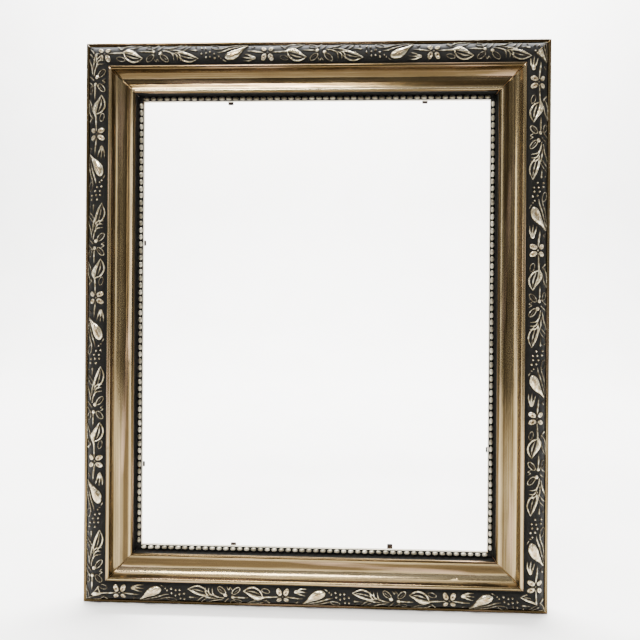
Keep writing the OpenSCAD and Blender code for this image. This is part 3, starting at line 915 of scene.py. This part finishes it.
def steel_material(name, dark, light, metallic, rough, scale):
    """Steel with fine mottling; scale is how fine."""
    m = Shader(name, metallic=metallic, roughness=rough)
    co = m.object_coords()
    n = m.noise(m.scaled(co, (scale, scale, scale * 3)), 4.0, 0.65)
    blotch = m.noise(m.scaled(co, (scale * 0.6,) * 3, (2, 1, 5)), 2.0, 0.5)
    base = m.ramp(n, [(0.3, dark), (0.7, light)])
    base = m.mix(m.remap(blotch, 0.56, 0.7, 0.0, 0.5), base, dark)
    m.set("Base Color", base)
    m.set("Roughness", m.remap(n, 0.3, 0.7, rough - 0.08, rough + 0.12))
    m.bump(n, 0.15, 0.0001)
    return m.material


gold = gold_material()
black = black_material()
zones = {
    "gold": gold,
    "black": black,
    "side": side_material(),
    "lip": lip_material(),
    "raw": pine_material(),
}
ornament_look = ornament_material()
pearl_look = pearl_material()
blued = steel_material("blued_steel", srgb(18, 18, 21), srgb(52, 53, 58), 0.7, 0.42, 300.0)
zinc = steel_material("zinc_plate", srgb(150, 150, 148), srgb(206, 206, 204), 0.9, 0.3, 160.0)
bare = steel_material("bare_steel", srgb(92, 92, 94), srgb(160, 160, 162), 0.9, 0.36, 260.0)

for k in range(4):
    rail_mesh(k, zones)
    ornament_mesh(k, ornament_look)
    pearls_mesh(k, [pearl_look, black])


# ---------------------------------------------------------------- the framer's tabs

TAB_THICK = 0.4
# points across a tab, round its section, as shares of half its width and half its thickness
ACROSS = np.array([-1, -0.93, -0.5, 0, 0.5, 0.93, 1, 1, 0.93, 0.5, 0, -0.5, -0.93, -1])
HEIGHT = np.array([-0.7, -1, -1, -1, -1, -1, -0.7, 0.7, 1, 1, 1, 1, 1, 0.7])
# rings past the rebate's wall, closer together across the bend
NEAR_BEND = (-2, -0.6, 0, 0.2, 0.4, 0.6, 0.8, 1.1, 1.6)


def tab_place(name):
    """The side that a tab is on, its place along it, its tip, its driven end, its width and its v."""
    low, high = (Vector(c) * 1000 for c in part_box("tab_blade_" + name))
    shank_low, shank_high = (Vector(c) * 1000 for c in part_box("tab_shank_" + name))
    mid = (low + high) / 2
    k = int(np.argmin((low.z, low.x + W / 2, H - high.z, W / 2 - high.x)))
    wide = high.z - low.z if k % 2 else high.x - low.x
    if k == 0:
        x0, u_tip, u_end = mid.x, high.z, shank_low.z
    elif k == 1:
        x0, u_tip, u_end = H / 2 - mid.z, high.x + W / 2, shank_low.x + W / 2
    elif k == 2:
        x0, u_tip, u_end = -mid.x, H - low.z, H - shank_high.z
    else:
        x0, u_tip, u_end = mid.z - H / 2, W / 2 - low.x, W / 2 - shank_high.x
    return k, x0, u_tip, u_end, wide, BACK - mid.y


def tab_outline(u_tip, u_end, hw):
    """(u, half width) from the driven point to the rounded tip."""
    point = [(u_end, 0.05), (u_end + 1.5, 0.7), (u_end + 3, 1.4), (u_end + 5.5, hw)]
    body = [(REBATE + q, hw) for q in NEAR_BEND]
    span = u_tip - REBATE - 2.4
    body += [(REBATE + NEAR_BEND[-1] + span * f, hw) for f in (0.25, 0.5, 0.75, 0.95)]
    tip = [(u_tip - 0.75, hw), (u_tip - 0.4, hw - 0.12), (u_tip - 0.15, hw - 0.42), (u_tip, hw - 0.85)]
    return sorted(set(point + body + tip))


def tab_mesh(name):
    """One whole tab over its two nodes, its rings closer together where it leaves the rebate's wall."""
    k, x0, u_tip, u_end, wide, v0 = tab_place(name)
    rows = []
    for q, h in tab_outline(u_tip, u_end, wide / 2):
        # the free end has a faint crown
        crown = 0.05 * np.clip((q - REBATE - 1) / 2, 0, 1) * (1 - ACROSS ** 2)
        v = v0 + HEIGHT * TAB_THICK / 2 + crown - 0.03
        rows.append(to_world(k, x0 + ACROSS * h, np.full(len(ACROSS), q), v))
    verts, faces, _ = loft(np.array(rows))
    ob = make_object(f"tab_{name}_look", verts, faces, [blued], smooth=False)
    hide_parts("tab_blade_" + name, "tab_shank_" + name)
    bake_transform(ob)


for joint in frame["joints"]:
    if joint["name"].startswith("bend_"):
        tab_mesh(joint["name"][len("bend_"):])

for node, ob in frame["nodes"].items():
    if node.startswith("hanger"):
        ob.data.materials.clear()
        ob.data.materials.append(zinc)
    elif node == "corner_v_nails":
        ob.data.materials.clear()
        ob.data.materials.append(bare)


# ---------------------------------------------------------------- floor, light and camera

FLOOR_FROM, SWEEP_FROM, SWEEP_R, BACKDROP_H = -1.0, 1.7, 0.8, 3.4      # metres


def sweep_floor():
    """A pale floor that curves up into a backdrop."""
    pts = [(y, 0.0) for y in (FLOOR_FROM, -0.6, -0.2, 0.0, 0.6, 1.2, SWEEP_FROM)]
    for i in range(1, 13):
        q = math.pi / 2 * i / 12
        pts.append((SWEEP_FROM + SWEEP_R * math.sin(q), SWEEP_R - SWEEP_R * math.cos(q)))
    pts += [(SWEEP_FROM + SWEEP_R, z) for z in (1.4, 2.4, BACKDROP_H)]
    across = (-4.0, -1.5, 0.0, 1.5, 4.0)
    verts = [(x * 1000, y * 1000, z * 1000) for y, z in pts for x in across]
    faces = []
    n = len(across)
    for j in range(len(pts) - 1):
        for i in range(n - 1):
            a = j * n + i
            faces.append([a, a + 1, a + n + 1, a + n])
    m = Shader("pale_floor", roughness=0.8, specular=0.2)
    tint = m.noise(m.scaled(m.object_coords(), (6, 6, 6)), 4.0, 0.6)
    m.set("Base Color", m.ramp(tint, [(0.3, srgb(244, 243, 241)), (0.7, srgb(251, 250, 248))]))
    # a little light of its own keeps it pale
    m.set("Emission Color", (1.0, 1.0, 1.0, 1.0))
    m.set("Emission Strength", 0.09)
    make_object("floor", verts, faces, [m.material])


sweep_floor()

world = bpy.data.worlds.new("studio")
bpy.context.scene.world = world
world.use_nodes = True
background = world.node_tree.nodes["Background"]
background.inputs["Color"].default_value = (0.93, 0.95, 1.0, 1)
background.inputs["Strength"].default_value = 0.42


def area(name, where, at, size, size_y, power, colour=(1, 1, 1)):
    """A rectangular lamp at one point that faces another."""
    data = bpy.data.lights.new(name, "AREA")
    data.shape = "RECTANGLE"
    data.size = size
    data.size_y = size_y
    data.energy = power
    data.color = colour
    ob = bpy.data.objects.new(name, data)
    bpy.context.collection.objects.link(ob)
    ob.location = where
    ob.rotation_euler = (Vector(at) - Vector(where)).to_track_quat("-Z", "Y").to_euler()


area("key", (-0.3, -1.2, 1.72), (0, 0, 0.28), 0.8, 0.24, 64, (1.0, 0.98, 0.95))
area("left_fill", (-1.55, -1.1, 0.5), (0, 0, 0.28), 0.4, 0.9, 11, (1.0, 0.99, 0.97))
area("right_fill", (1.8, -0.8, 0.6), (0, 0, 0.28), 0.7, 1.0, 9, (0.94, 0.97, 1.0))
area("overhead", (0, 0.2, 2.6), (0, 0.2, 0), 2.6, 2.4, 135)
area("backdrop_light", (0, 1.1, 3.0), (0, 2.4, 0.7), 3.0, 0.6, 520)

camera_data = bpy.data.cameras.new("camera")
camera = bpy.data.objects.new("camera", camera_data)
bpy.context.collection.objects.link(camera)
camera_data.sensor_width = 36
camera_data.lens = 36.06
camera_data.shift_y = -0.0284
camera_data.clip_start = 0.01
camera_data.dof.use_dof = False
bpy.context.scene.camera = camera


def turn(rx, ry, rz):
    """A matrix whose rows are the camera's right, forward and up, after small turns in degrees."""
    a, b, c = (math.radians(q) for q in (rx, ry, rz))
    return Matrix.Rotation(c, 3, "Z") @ Matrix.Rotation(b, 3, "Y") @ Matrix.Rotation(a, 3, "X")


right, forward, up = turn(0.064, 0.385, -2.437)
place_m = Matrix.Translation((0.0329, -0.6361, 0.3029))
camera.matrix_world = place_m @ Matrix((right, up, -forward)).transposed().to_4x4()
